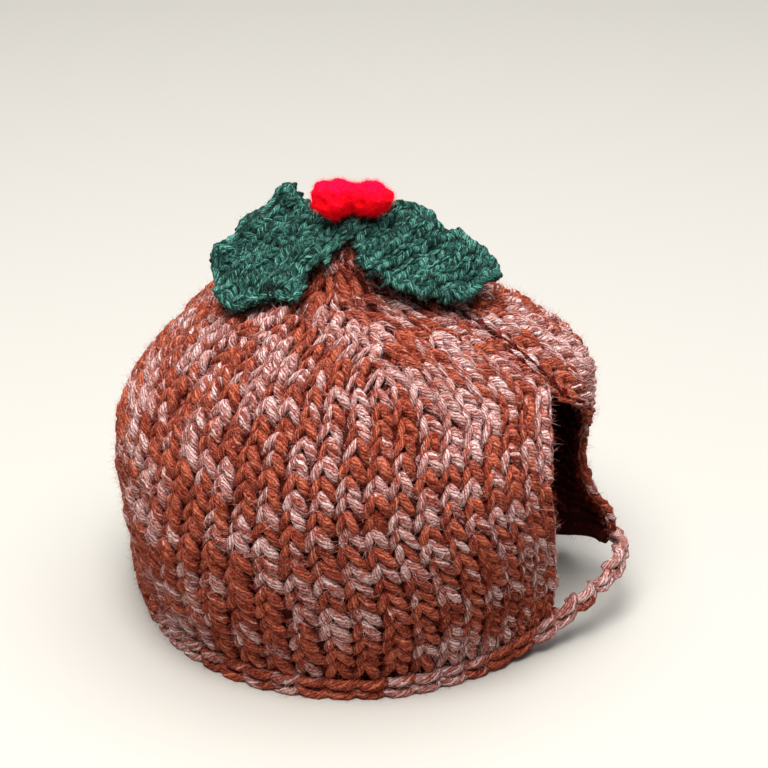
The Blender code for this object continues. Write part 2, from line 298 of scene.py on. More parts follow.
def smooth_curve(points, steps):
    """A Catmull-Rom curve through the points, with this many steps between two."""
    points = np.asarray(points, float)
    ends = np.vstack([2 * points[0] - points[1], points, 2 * points[-1] - points[-2]])
    place = np.linspace(0, len(points) - 1, (len(points) - 1) * steps + 1)
    left = np.minimum(place.astype(int), len(points) - 2)
    f = (place - left)[:, None]
    a, b, c, d = (ends[left + k] for k in range(4))
    square = 2 * a - 5 * b + 4 * c - d
    cube = 3 * b - a - 3 * c + d
    return 0.5 * (2 * b + (c - a) * f + square * f**2 + cube * f**3)


def walked(points):
    """The length along the points from the first one to each."""
    return np.concatenate([[0.0], np.cumsum(np.linalg.norm(np.diff(points, axis=0), axis=1))])


def unit(vectors):
    return vectors / np.maximum(np.linalg.norm(vectors, axis=-1, keepdims=True), 1e-12)


MERIDIAN = smooth_curve(np.array(MERIDIAN_MM) * MM, 24)
WAY = walked(MERIDIAN)
LENGTH = float(WAY[-1])


def on_meridian(way):
    """The body's radius and height at this way."""
    return (np.interp(way, WAY, MERIDIAN[:, k]) for k in (0, 1))


def gather_depth(theta, radius, z):
    """How far the folds draw the cloth in at this place."""
    wander = theta + 5.0 * np.sin(np.radians(2.0 * theta + 40.0))
    ripple = 0.5 - 0.5 * np.cos(np.radians(GATHERS * wander))
    fade = 1.0 - smooth_step(radius, GATHER_FULL_RADIUS, GATHER_END_RADIUS)
    depth = GATHER_DEPTH * ripple * fade * np.minimum(1.0, radius / GATHER_FULL_RADIUS)
    deep = DEEP_GATHER
    along = smooth_step(z, deep["from"], deep["from"] + 10 * MM)
    along = along * (1.0 - smooth_step(z, deep["to"] - 8 * MM, deep["to"]))
    depth = depth + deep["depth"] * along * hill(around(theta, deep["at"]), deep["spread"])
    seam = SEAM_GROOVE
    for middle in (0.0, 180.0):
        near = hill(around(theta, middle), seam["spread"])
        above = smooth_step(z, seam["from"], seam["from"] + 12 * MM)
        depth = depth + seam["depth"] * near * above * smooth_step(radius, 8 * MM, 25 * MM)
    return depth


def unevenness(theta, radius, z):
    turn = np.radians(theta)
    rise = z / (20 * MM)
    wave = np.sin(3 * turn + 1.1 * rise) + 0.7 * np.sin(5 * turn - 1.7 * rise + 2.0)
    return UNEVEN * wave * smooth_step(z, 6 * MM, 25 * MM) * smooth_step(radius, 12 * MM, 40 * MM)


def cloth_points(theta, way):
    """The points of the cloth's face at these azimuths and ways."""
    radius, z = on_meridian(way)
    step = 1.5 * MM
    ahead, behind = (tuple(on_meridian(way + d)) for d in (step, -step))
    slope = np.hypot(ahead[0] - behind[0], ahead[1] - behind[1])
    out = (ahead[1] - behind[1]) / slope
    up = -(ahead[0] - behind[0]) / slope
    inward = gather_depth(theta, radius, z) - unevenness(theta, radius, z)
    radius = np.maximum(radius - inward * out, 0.2 * MM)
    z = z - inward * up * smooth_step(z, 0.0, 6 * MM)
    for push in (SPOUT_PUSH, HANDLE_PUSH):
        near = hill(around(theta, push["at"]), push["spread"])
        radius = radius + push["out"] * near * hill(z, OUT_FADE)
        z = z + np.maximum(push["lift"] * near - LIFT_FLAT, 0.0) * hill(z, LIFT_FADE)
    bulge = hill(around(theta, SHOULDER["at"]), SHOULDER["spread"])
    bulge = bulge * hill(z - SHOULDER["height"], SHOULDER["fade"]) * smooth_step(radius, 8 * MM, 30 * MM)
    radius = radius + SHOULDER_OUT * bulge
    z = z + SHOULDER_UP * bulge
    turn = np.radians(theta)
    return np.stack([radius * np.cos(turn), radius * np.sin(turn), z], -1) - ORIGIN


# ---------------------------------------------------------------- nodes and meshes


def linear(code):
    """A hex sRGB colour as linear red, green, blue and alpha."""
    parts = [int(code[k : k + 2], 16) / 255 for k in (1, 3, 5)]
    return (*(c / 12.92 if c <= 0.04045 else ((c + 0.055) / 1.055) ** 2.4 for c in parts), 1.0)


def fill(tree, node, inputs):
    """Each input of the node, by its name or place, takes a value or another node's output."""
    for key, value in inputs.items():
        numbered = isinstance(key, int)
        socket = node.inputs[key] if numbered else next(s for s in node.inputs if s.enabled and s.name == key)
        if isinstance(value, bpy.types.NodeSocket):
            tree.links.new(value, socket)
        else:
            socket.default_value = value


def add(tree, kind, inputs=None, **settings):
    """The first output of a new node with these settings and inputs."""
    node = tree.nodes.new(kind)
    for key, value in settings.items():
        setattr(node, key, value)
    fill(tree, node, inputs or {})
    return next(s for s in node.outputs if s.enabled) if node.outputs else node


def new_finish(name):
    """A new material, what adds a node to it, and what fills its shader's inputs."""
    material = bpy.data.materials.new(name)
    material.use_nodes = True
    tree = material.node_tree
    shade_with = functools.partial(fill, tree, tree.nodes["Principled BSDF"])
    return material, functools.partial(add, tree), shade_with


def new_group(name, inputs):
    """A Geometry Nodes tree with these inputs, what adds a node to it, and the inputs' sockets."""
    tree = bpy.data.node_groups.new(name, "GeometryNodeTree")
    for label, kind in {"Geometry": "Geometry", **inputs}.items():
        tree.interface.new_socket(label, in_out="INPUT", socket_type=f"NodeSocket{kind}")
    tree.interface.new_socket("Geometry", in_out="OUTPUT", socket_type="NodeSocketGeometry")
    return tree, functools.partial(add, tree), tree.nodes.new("NodeGroupInput").outputs


def stood_on(tree, points, choices, **placing):
    """One object's or another's shape on each point, made real. Each choice is an object and its points."""
    both = tree.nodes.new("GeometryNodeJoinGeometry")
    for obj, chosen in choices:
        shape = add(tree, "GeometryNodeObjectInfo", {"Object": obj}).node.outputs["Geometry"]
        sockets = {"Points": points, "Selection": chosen, "Instance": shape, **placing}
        tree.links.new(add(tree, "GeometryNodeInstanceOnPoints", sockets), both.inputs[0])
    return add(tree, "GeometryNodeRealizeInstances", {"Geometry": both.outputs[0]})


def linked(name, data):
    obj = bpy.data.objects.new(name, data)
    bpy.context.scene.collection.objects.link(obj)
    return obj


def mesh_object(name, points, faces):
    mesh = bpy.data.meshes.new(name)
    mesh.from_pydata([tuple(map(float, p)) for p in points], [], faces)
    return linked(name, mesh)


def give(obj, name, values, kind="FLOAT_VECTOR"):
    """Store one value a point on the object's mesh."""
    layer = obj.data.attributes.new(name, kind, "POINT")
    field = "vector" if kind == "FLOAT_VECTOR" else "value"
    layer.data.foreach_set(field, np.asarray(values, np.float32).ravel())


def give_map(obj, name, corners):
    """Store a flat place for each corner of the mesh's faces."""
    layer = obj.data.uv_layers.new(name=name)
    layer.data.foreach_set("uv", np.asarray(corners, np.float32).ravel())


def lift_shadow(obj, least):
    """Keep the painted shade off the yarn that lies open at an edge, however deep it hangs."""
    layer = obj.data.attributes["height"].data
    heights = np.empty(len(layer), np.float32)
    layer.foreach_get("value", heights)
    layer.foreach_set("value", np.maximum(heights, least))


def discard(*objects):
    for obj in objects:
        bpy.data.objects.remove(obj)


def grown(name, seeds, tree, inputs):
    """The mesh that this Geometry Nodes tree grows from the seeds, as a plain object."""
    modifier = seeds.modifiers.new("Grow", "NODES")
    modifier.node_group = tree
    sockets = {item.name: item.identifier for item in tree.interface.items_tree if item.in_out == "INPUT"}
    for key, value in inputs.items():
        modifier[sockets[key]] = value
    seeds.update_tag()
    bpy.context.view_layer.update()
    mesh = bpy.data.meshes.new_from_object(seeds.evaluated_get(bpy.context.evaluated_depsgraph_get()))
    mesh.name = name
    seeds.modifiers.remove(modifier)
    discard(seeds)
    for helper in ("place", "across", "along", "spread", "thick", "kind", "local"):
        if helper in mesh.attributes:
            mesh.attributes.remove(mesh.attributes[helper])
    return linked(name, mesh)


def grid_faces(rows, columns):
    corners = [i * columns + j for i in range(rows - 1) for j in range(columns - 1)]
    return [(a, a + 1, a + columns + 1, a + columns) for a in corners]


def cloth_sheet(name, grid, thickness, material):
    """A grid of points as cloth of this thickness, closed all round."""
    obj = mesh_object(name, grid.reshape(-1, 3), grid_faces(*grid.shape[:2]))
    bm = bmesh.new()
    bm.from_mesh(obj.data)
    bmesh.ops.recalc_face_normals(bm, faces=bm.faces[:])
    bm.to_mesh(obj.data)
    bm.free()
    thicken = obj.modifiers.new("Thickness", "SOLIDIFY")
    thicken.thickness = thickness
    thicken.offset = 0.0
    obj.data.materials.append(material)
    obj.data.shade_smooth()
    return obj


# ---------------------------------------------------------------- surfaces that the knitting follows


def surface(name, grid, out, flat):
    """A grid of points as a mesh, with each point's outward direction and its flat place as a UV map."""
    obj = mesh_object(name, grid.reshape(-1, 3), grid_faces(*grid.shape[:2]))
    give(obj, "out", out.reshape(-1, 3))
    corners = np.empty(len(obj.data.loops), int)
    obj.data.loops.foreach_get("vertex_index", corners)
    give_map(obj, "flat", flat.reshape(-1, 2)[corners])
    return obj


def outward(grid, side):
    """The unit normals of a grid of points."""
    return unit(np.cross(np.gradient(grid, axis=1), np.gradient(grid, axis=0)) * side)


def panel_grid(theta, ways, side):
    """The points and normals of a panel's cloth at these azimuths, with a row for each way."""
    grid = cloth_points(side * theta, np.repeat(ways[:, None], theta.shape[1], axis=1))
    grid[..., 1] += side * SEAM_GAP / 2
    return grid, outward(grid, side)


def panel_edges(ways, slits):
    """The panel's first and last azimuth at these ways, and its roll's radius."""
    radius, height = on_meridian(ways)
    roll = np.minimum(ROLL_RADIUS, 0.1 * radius)
    inset = np.degrees(roll / radius)
    angles = [np.interp(height / MM, *zip(*slit)) for slit in slits]
    # Above the slits the panels are sewn together, and their yarn touches.
    first, end = (angle + inset * (1.0 - SEWN * (1.0 - np.clip(angle / 3.0, 0.0, 1.0))) for angle in angles)
    return first, 180.0 - end, roll


def flat_u(share):
    """A share of the panel's width as a place on its flat map, rolled edges included."""
    return (share + ROLL_SHARE) / FULL_SHARE


def panel_surface(name, side, slits, columns=101, rows=81, turns=10):
    """The cloth's face between the panel's edges, with both edges rolled inwards."""
    ways = np.linspace(0.0, LENGTH, rows)
    first, last, roll = panel_edges(ways, slits)
    share = np.linspace(0.0, 1.0, columns)
    middle = 2 * share - 1
    pull = HEM_STRETCH * (1.0 - smooth_step(ways, 15 * MM, 75 * MM))[:, None]
    stretched = 0.5 + 0.5 * middle * (1 + pull * (1 - middle**2))
    # The edges stand back from the seams, and the columns near them crowd together.
    theta = 180.0 * stretched + first[:, None] * (1 - stretched) ** 3 - (180.0 - last)[:, None] * stretched**3
    grid, out = panel_grid(theta, ways, side)
    flat_x = np.repeat(share[None, :], rows, axis=0)
    bend = np.radians(np.linspace(ROLL_TURN / turns, ROLL_TURN, turns))[None, :, None]
    r = roll[:, None, None]
    rolls = []
    for end, inner, sign in ((0, 1, -1), (-1, -2, 1)):
        n = out[:, end][:, None]
        t = unit(grid[:, end] - grid[:, inner])[:, None]
        points = grid[:, end][:, None] + r * (np.sin(bend) * t - (1 - np.cos(bend)) * n)
        normals = np.cos(bend) * n + np.sin(bend) * t
        places = (0.0 if end == 0 else 1.0) + sign * ROLL_SHARE * np.linspace(1 / turns, 1.0, turns)
        rolls.append((points, normals, np.repeat(places[None, :], rows, axis=0)))
    grid, out, flat_x = (
        np.concatenate([left[:, ::-1], face, right], axis=1)
        for left, face, right in zip(rolls[0], (grid, out, flat_x), rolls[1])
    )
    flat = np.stack([flat_u(flat_x), np.repeat((ways / LENGTH)[:, None], flat_x.shape[1], axis=1)], -1)
    return surface(name, grid, out, flat), grid, out


def hem_surface(name, side, columns=160, rows=9):
    """The foot of a panel, from seam to seam, that the cast-off edge runs along."""
    ways = np.linspace(0.0, HEM_HEIGHT, rows)
    share = np.linspace(0.0, 1.0, columns)
    grid, out = panel_grid(180.0 * np.repeat(share[None, :], rows, axis=0), ways, side)
    flat = np.stack(np.broadcast_arrays(share[None, :], (ways / HEM_HEIGHT)[:, None]), -1)
    return surface(name, grid, out, flat), grid


# ---------------------------------------------------------------- yarn


def yarn_grain(name, path, radii, cell, sides, rings):
    """One leg of a stitch: a short closed tube of yarn, in shares of its cell's width and height."""
    centre = smooth_curve(path, 12)
    size = smooth_curve(np.array(radii)[:, None], 12)[:, 0]
    pick = np.linspace(0, len(centre) - 1, rings).round().astype(int)
    centre, size = centre[pick], size[pick]
    tangent = unit(np.gradient(centre, axis=0))
    aside = unit(np.cross(tangent, (0.0, 0.0, 1.0)))
    above = np.cross(aside, tangent)
    points = []
    for k in range(rings):
        for step in range(sides):
            turn = 2 * math.pi * (step / sides - 0.25)
            points.append(centre[k] + size[k] * (math.cos(turn) * aside[k] + math.sin(turn) * above[k]))
    points.append(centre[0] - tangent[0] * size[0] * 0.6)
    points.append(centre[-1] + tangent[-1] * size[-1] * 0.6)
    top, bottom = len(points) - 2, len(points) - 1
    last = (rings - 1) * sides
    faces, maps = [], []
    for k in range(rings - 1):
        for step in range(sides):
            a, b = k * sides + step, k * sides + (step + 1) % sides
            faces.append((a + sides, b + sides, b, a))
            u0, u1, v0, v1 = step / sides, (step + 1) / sides, k / (rings - 1), (k + 1) / (rings - 1)
            maps += [(u0, v1), (u1, v1), (u1, v0), (u0, v0)]
    for step in range(sides):
        after = (step + 1) % sides
        u0, u1 = step / sides, (step + 1) / sides
        middle = 0.5 * (u0 + u1)
        faces += [(top, step, after), (bottom, last + after, last + step)]
        maps += [(middle, 0.0), (u0, 0.0), (u1, 0.0), (middle, 1.0), (u1, 1.0), (u0, 1.0)]
    points = np.array(points)
    obj = mesh_object(name, points * MM, faces)
    give(obj, "local", points / (*cell, 1 / MM))
    give_map(obj, "yarn", maps)
    obj.hide_render = True
    return obj


def knit_tree():
    """Instances a grain of yarn on each point and lays it on a surface, from each point's flat frame."""
    inputs = {"Left leg": "Object", "Right leg": "Object", "Surface": "Object", "Yarn": "Material"}
    tree, node, given = new_group("Knitting", inputs)
    kept = {
        name: node(ATTRIBUTE, {"Name": name}, data_type="FLOAT_VECTOR")
        for name in ("place", "across", "along", "spread", "local", "out", "flat")
    }
    is_right = node(ATTRIBUTE, {"Name": "kind"}, data_type="FLOAT")
    thick = node(ATTRIBUTE, {"Name": "thick"}, data_type="FLOAT")
    is_left = node(MATH, {0: 1.0, 1: is_right}, operation="SUBTRACT")
    choices = ((given["Left leg"], is_left), (given["Right leg"], is_right))
    real = stood_on(tree, given["Geometry"], choices)

    local = node(SPLIT, {0: kept["local"]}).node.outputs
    flat = node(VECTOR, {0: kept["spread"], 1: local[1], 2: kept["across"]}, operation="MULTIPLY_ADD")
    flat = node(VECTOR, {0: flat, 1: local[0], 2: kept["place"]}, operation="MULTIPLY_ADD")
    flat = node(VECTOR, {0: kept["along"], 1: local[1], 2: flat}, operation="MULTIPLY_ADD")
    depth = node(SPLIT, {0: flat}).node.outputs[2]
    # The map ends at 0 and 1.
    flat = node(VECTOR, {0: flat, 1: (0.9995, 0.9995, 1.0)}, operation="MINIMUM")
    flat = node(VECTOR, {0: flat, 1: (0.0005, 0.0005, -1.0)}, operation="MAXIMUM")
    height = node(MATH, {0: local[2], 1: thick, 2: depth}, operation="MULTIPLY_ADD")
    ground = node("GeometryNodeObjectInfo", {"Object": given["Surface"]}).node.outputs["Geometry"]
    ground_point, ground_out = (
        node(
            "GeometryNodeSampleUVSurface",
            {"Mesh": ground, "Value": value, "UV Map": kept["flat"], "Sample UV": flat},
            data_type="FLOAT_VECTOR",
        )
        for value in (node("GeometryNodeInputPosition"), kept["out"])
    )
    point = node(VECTOR, {0: ground_out, 1: height, 2: ground_point}, operation="MULTIPLY_ADD")
    # Handspun yarn is never quite round.
    rough = node(NOISE, {"Scale": 1 / (2.2 * MM), "Detail": 1.0, "Vector": point}).node.outputs["Color"]
    rough = node(VECTOR, {0: rough, 1: (-0.5, -0.5, -0.5)})
    point = node(VECTOR, {0: rough, 1: (YARN_ROUGH,) * 3, 2: point}, operation="MULTIPLY_ADD")
    # The lowest yarn is pressed flat by the table.
    point = node(VECTOR, {0: point, 1: (-9.0, -9.0, 0.0)}, operation="MAXIMUM")
    laid = node("GeometryNodeSetPosition", {"Geometry": real, "Position": point})
    # The height also sets the painted shade of the yarn's sunken ends.
    laid = node(
        "GeometryNodeStoreNamedAttribute",
        {"Geometry": laid, "Name": "height", "Value": height},
        data_type="FLOAT",
        domain="POINT",
    )
    laid = node("GeometryNodeSetShadeSmooth", {"Geometry": laid})
    laid = node("GeometryNodeSetMaterial", {"Geometry": laid, "Material": given["Yarn"]})
    node("NodeGroupOutput", {0: laid})
    return tree


def knitted(name, legs, shapes, ground, tree, material):
    """The yarn of these stitches' legs, laid on the ground's surface."""
    seeds = mesh_object(f"{name}_seeds", [leg["place"] for leg in legs], [])
    for key in legs[0]:
        give(seeds, key, [leg[key] for leg in legs], "FLOAT" if key in ("kind", "thick") else "FLOAT_VECTOR")
    inputs = {"Left leg": shapes[0], "Right leg": shapes[1], "Surface": ground, "Yarn": material}
    return grown(name, seeds, tree, inputs)


def stitch_leg(place, across, along, dye, kind, thick=1.0, spread=0.0):
    """One leg of a stitch: its place, size and lean on the flat map, its dye, and 1 for a right leg."""
    return {
        "place": place,
        "across": (*across, 0.0),
        "along": (*along, 0.0),
        "spread": (spread, 0.0, 0.0),
        "dye": dye,
        "kind": float(kind),
        "thick": float(thick),
    }


def dye_run(rng, length):
    """Rust and pink by turns along the yarn, a value for each place: 0 is rust, 1 is pink. The runs of pink
    grow longer from the yarn's start to its end, and the runs of rust shorter."""
    value = np.zeros(length + 8)
    at, pink = 0, False
    while at < length:
        run = int(rng.integers(*PINK_RUN if pink else RUST_RUN))
        run = max(1, run + round(DYE_GAIN * (at / length - 0.5) * (1 if pink else -1)))
        value[at : at + run] = 1.0 if pink else 0.0
        at += run
        pink = not pink
    # Each change spreads over the places beside it.
    return np.convolve(value, (0.2, 0.6, 0.2), "same")


# ---------------------------------------------------------------- the panels


def wale_paths(rng, widths):
    """The columns' places at each row, as shares of the panel's width, with the columns knitted together
    where they grow narrow. Each row is a list of places and the columns' numbers in the row above."""
    places = [(k + 0.5) / WALES for k in range(WALES)]
    rows = []
    for j, width in enumerate(widths):
        count = len(places)
        even = [(k + 0.5) / count for k in range(count)]
        places = [p + 0.5 * (e - p) for p, e in zip(places, even)]
        goal = max(LEAST_WALES, math.ceil(width / NARROWEST))
        joins = set()
        if count > goal and j < len(widths) - 1:
            wanted = min(count - goal, MAX_JOINS)
            start = float(rng.uniform(0.0, 1.0))
            for k in range(wanted):
                at = start + k + float(rng.uniform(0.0, 0.4))
                joins.add(int(at / wanted * (count - 1)) % (count - 1))
        above, merged, k = [], [], 0
        while k < count:
            taken = 2 if k in joins and k + 1 < count else 1
            above += [len(merged)] * taken
            merged.append(0.5 * (places[k] + places[k + 1]) if taken == 2 else places[k])
            k += taken
        rows.append((places, above))
        places = merged
    return rows


def wale_widths(places):
    """Each column's width, from the columns' middles."""
    return np.diff([0.0, *(0.5 * (a + b) for a, b in zip(places[:-1], places[1:])), 1.0])


def slimmed(radius):
    """How thick the knitting is, from 1 on the body down to the tip, where it has no room."""
    return np.clip(radius / SLIM_RADIUS, 0.2, 1.0)


def panel_stitches(rng, slits, side):
    """Every leg of the panel's stitches: rows of columns, and one more column rolled round each edge."""
    count = round((LENGTH - HEM_TOP - PEAK_LEFT) / COURSE)
    steps = np.linspace(0.0, 1.0, count + 1)
    tops = HEM_TOP + (LENGTH - HEM_TOP - PEAK_LEFT) * (1.0 - (1.0 - steps) ** PEAK_SHRINK)
    middles = 0.5 * (tops[1:] + tops[:-1])
    tops[0] -= HEM_TUCK
    first, last, _ = panel_edges(middles, slits)
    radii = np.interp(middles, WAY, MERIDIAN[:, 0])
    rows = wale_paths(rng, np.radians(last - first) * radii)
    dye = dye_run(rng, 2 * count * (WALES + 4) * 2)
    pink_share = PEAK_PINK + (1 - PEAK_PINK) * smooth_step(LENGTH - middles, PEAK_RUST[1], PEAK_RUST[0])
    legs, at = [], 0
    for j, (places, above) in enumerate(rows):
        low, high = tops[j], tops[j + 1]
        if j + 1 < count:
            upper = rows[j + 1][0]
        else:
            upper, above = places, range(len(places))
        up_width = wale_widths(upper)
        # The rolled edges are a column more on each side.
        here = np.array([-ROLL_SHARE / 2, *places, 1 + ROLL_SHARE / 2])
        up = np.array([-ROLL_SHARE / 2, *(upper[a] for a in above), 1 + ROLL_SHARE / 2])
        width = np.array([ROLL_SHARE, *wale_widths(places), ROLL_SHARE])
        up_width = np.array([ROLL_SHARE, *(up_width[a] for a in above), ROLL_SHARE])
        # The knitter works back and forth.
        back = j % 2
        for k in range(len(here))[:: -1 if back else 1]:
            top_x = 0.5 * (here[k] + up[k])
            lean = up[k] - here[k]
            wide = 0.5 * (width[k] + up_width[k])
            wobble = rng.normal(0.0, 1.0, 4)
            shade = float(rng.uniform(0.0, 1.0))
            for turn, kind in enumerate((1, 0) if back else (0, 1)):
                # The yarn runs down one leg and up the other.
                start, end = (dye[at], dye[at + 1]) if turn == 0 else (dye[at + 1], dye[at])
                at += 1
                own = rng.normal(0.0, 1.0, 4)
                place = (
                    flat_u(top_x + STRAY_ALONG * wobble[0] * wide),
                    (high + (STRAY_UP[0] * wobble[1] + STRAY_UP[1] * own[0]) * MM) / LENGTH,
                    (STRAY_OUT[0] * wobble[2] + STRAY_OUT[1] * own[1]) * MM,
                )
                size = side * wide * (1 + STRAY_SIZE * wobble[3] + STRAY_SIZE * own[2])
                along = ((lean + STRAY_SIZE * own[3] * wide) / FULL_SHARE, (high - low) / LENGTH)
                tint = (start * pink_share[j], end * pink_share[j], shade + NEXT_SHADE * turn)
                spread = side * (up_width[k] - width[k]) / FULL_SHARE
                across = (size / FULL_SHARE, 0.0)
                legs.append(stitch_leg(place, across, along, tint, kind, slimmed(radii[j]), spread))
    return legs


def purl_side(legs):
    """The back of the knitting: one bump for each stitch, between the tops of its legs."""
    return [{**leg, "kind": 1.0} for leg in legs if leg["kind"] == 0.0]


def hem_stitches(rng, grid, side):
    """The cast-off edge: a chain of stitches lying on their sides along the foot."""
    foot = walked(grid[2])
    count = round(foot[-1] / HEM_LINK)
    marks = np.interp(np.linspace(0.0, foot[-1], count + 1), foot, np.linspace(0.0, 1.0, len(foot)))
    # The cast-off edge starts at the handle, so its pinker end is by the spout.
    links = 2 * count + 4
    dye = dye_run(rng, links)[:links][::-1]
    legs = []
    for k, (start, end) in enumerate(zip(marks[:-1], marks[1:])):
        shade = float(rng.uniform(0.0, 1.0))
        # The chain's two ends are drawn together at the seams.
        width = HEM_WIDTH / HEM_HEIGHT * (HEM_END if k in (0, count - 1) else 1.0)
        for kind in (0, 1):
            wobble = rng.normal(0.0, 1.0, 3)
            at = 2 * k + kind
            flare = HEM_FLARE if (kind == 0) == (side < 0) else 0.0
            place = (
                end + HEM_STRAY[0] * wobble[0] * (end - start),
                (HEM_MIDDLE + HEM_STRAY[1] * wobble[1] * MM) / HEM_HEIGHT,
                flare + HEM_STRAY[2] * wobble[2] * MM,
            )
            dyed = (dye[at], dye[at + 1], shade + HEM_NEXT_SHADE * kind)
            legs.append(stitch_leg(place, (0.0, -side * width), (end - start, 0.0), dyed, kind))
    return legs


# ---------------------------------------------------------------- the holly


def leaf_frame(leaf):
    """The leaf's root, and its unit vectors along the vein, towards the front edge and up."""
    vein = unit(np.array(leaf["vein"]))
    tilt = math.radians(leaf["tilt"])
    front = np.array([0.0, -math.cos(tilt), -math.sin(tilt)])
    front = unit(front - vein * front.dot(vein))
    up = np.cross(vein, front)
    return np.array(leaf["root"]), vein, front, up * math.copysign(1.0, up[2])


def trim_points(points):
    """Points of a trimming, from millimetres in its own frame."""
    turn = math.radians(TRIM_TURN)
    x, y, z = np.moveaxis(np.asarray(points, float), -1, 0)
    turned = (x * math.cos(turn) - y * math.sin(turn), x * math.sin(turn) + y * math.cos(turn), z)
    return np.stack(turned, -1) * MM - ORIGIN


def leaf_points(leaf, along, across, rise=0.0):
    """Points of the leaf's middle layer at these places (mm), raised by so much on its face."""
    root, vein, front, up = leaf_frame(leaf)
    droop = leaf["bend"] * along**2 + leaf["cup"] * across**2
    lumps = np.sin(0.42 * along + 0.21 * across + 1.0) + np.sin(0.5 * across - 0.16 * along + 2.0)
    droop = droop - LEAF_LUMPS * lumps * smooth_step(along, 4.0, 12.0)
    spot = root + along[..., None] * vein + across[..., None] * front + (rise - droop)[..., None] * up
    return trim_points(spot)


def leaf_outline(leaf):
    """The leaf's edge in its own plane: out along the back edge and home along the front edge."""
    table = np.array((LEAF_ROOT, *leaf["outline"]))
    return np.vstack([table[:, (0, 1)], table[::-1, (0, 2)]])


def inside_by(outline, point):
    """How far inside the outline the point lies; negative if outside."""
    a, b = outline, np.roll(outline, -1, axis=0)
    edge = b - a
    t = np.clip(((point - a) * edge).sum(1) / np.maximum((edge**2).sum(1), 1e-9), 0.0, 1.0)
    distance = np.linalg.norm(a + t[:, None] * edge - point, axis=1).min()
    crosses = (a[:, 1] > point[1]) != (b[:, 1] > point[1])
    with np.errstate(divide="ignore", invalid="ignore"):
        reach = a[:, 0] + (point[1] - a[:, 1]) / (b[:, 1] - a[:, 1]) * edge[:, 0]
    return distance if (crosses & (point[0] < reach)).sum() % 2 else -distance


def leaf_flat(along, across):
    return np.stack([(along + LEAF_MIDDLE[0]) / LEAF_MAP, (across + LEAF_MIDDLE[1]) / LEAF_MAP], -1)


def leaf_surface(name, leaf, face):
    """The leaf's upper (face 1) or lower (face -1) side, wider than its outline."""
    along, across = np.meshgrid(np.linspace(-8.0, 54.0, 63), np.linspace(-34.0, 26.0, 61))
    grid = leaf_points(leaf, along, across, np.full(along.shape, face * LEAF_THICK / 2 / MM))
    out = outward(grid, 1)
    up = trim_points(leaf_frame(leaf)[3]) + ORIGIN
    out *= face * np.sign((out * up).sum(-1, keepdims=True))
    return surface(name, grid, out, leaf_flat(along, across))


def turned_by(direction, angle):
    """A flat direction turned by an angle in radians."""
    c, s = math.cos(angle), math.sin(angle)
    return np.array((direction[0] * c - direction[1] * s, direction[0] * s + direction[1] * c))


def leaf_stitches(rng, leaf, face):
    """Rows of small stitches clipped to the leaf's outline, and yarn wound over its edge."""
    outline = leaf_outline(leaf)
    turn = math.radians(leaf["knit_turn"])
    side = np.array((math.cos(turn), math.sin(turn)))
    rise = np.array((-side[1], side[0]))
    # Seen from the upper side, the leaf's frame is right- or left-handed.
    _, vein, front, up = leaf_frame(leaf)
    hand = math.copysign(1.0, np.cross(vein, front).dot(up)) * face

    def leg(spot, across, along, kind, lift):
        shade = float(rng.uniform(0.0, 1.0))
        tone = float(rng.uniform(0.0, 1.0))
        place = (*leaf_flat(*spot), lift * MM)
        return stitch_leg(place, across / LEAF_MAP, along / LEAF_MAP, (tone, tone, shade), kind)

    body, edge = [], []
    for j in range(-30, 31):
        for k in range(-16, 17):
            centre = np.array((LEAF_START, 0.0)) + k * LEAF_WALE * rise + j * LEAF_COURSE * side
            for kind, shift in ((0, -0.22), (1, 0.22)):
                middle = centre + shift * LEAF_WALE * rise
                depth = inside_by(outline, middle)
                if depth < (LEAF_INSET if middle[0] > LEAF_CLEAR else UNDER_INSET):
                    continue
                wobble = rng.normal(0.0, 1.0, 6)
                swing = math.radians(LEAF_SWING * wobble[0] + leaf["fan"] * middle[1])
                wale = LEAF_WALE * (1 + 0.06 * wobble[1]) * turned_by(rise, swing)
                course = LEAF_COURSE * (1.04 + 0.06 * wobble[2]) * turned_by(side, swing)
                # The face falls away towards the edge.
                lift = LEAF_FALL[0] * math.exp(-depth / LEAF_FALL[1]) + 0.2 * wobble[5]
                body.append(leg(centre + 0.16 * wobble[3:5], -hand * wale, course, kind, lift))
    walk = np.vstack([outline, outline[:1]])
    lengths = walked(walk)
    for at in np.linspace(0.0, lengths[-1], round(lengths[-1] / LEAF_EDGE_STEP), endpoint=False):
        here, ahead, behind = (
            np.array([np.interp((at + d) % lengths[-1], lengths, walk[:, c]) for c in (0, 1)])
            for d in (0.0, EDGE_REACH, -EDGE_REACH)
        )
        way = unit(ahead - behind)
        inward = np.array((-way[1], way[0]))
        if inside_by(outline, here + 0.6 * inward) < 0:
            inward = -inward
        wobble = rng.normal(0.0, 1.0, 4)
        lean = math.radians(EDGE_LEAN[0] + EDGE_LEAN[1] * wobble[0])
        course = (way * math.cos(lean) + inward * math.sin(lean)) * LEAF_COURSE * 1.1
        wale = np.array((-course[1], course[0])) * (LEAF_WALE / LEAF_COURSE) * hand
        spot = here + (0.95 + 0.15 * wobble[1]) * inward + 0.5 * course
        edge.append(leg(spot, wale, course, 0, -1.1 + 0.2 * wobble[2]))
    return body, edge


def leaf_grid(leaf, rows=40, columns=22):
    """The points of the leaf's cloth, a little inside its outline."""
    table = np.array(leaf["outline"])
    grid = []
    for along in np.linspace(table[0, 0] + 1.0, table[-1, 0] - 1.2, rows):
        back, front = (float(np.interp(along, table[:, 0], table[:, k])) for k in (1, 2))
        inset = min(1.1, 0.4 * (front - back))
        across = np.linspace(back + inset, front - inset, columns)
        grid.append(leaf_points(leaf, np.full(columns, along), across, np.zeros(columns)))
    return np.array(grid)


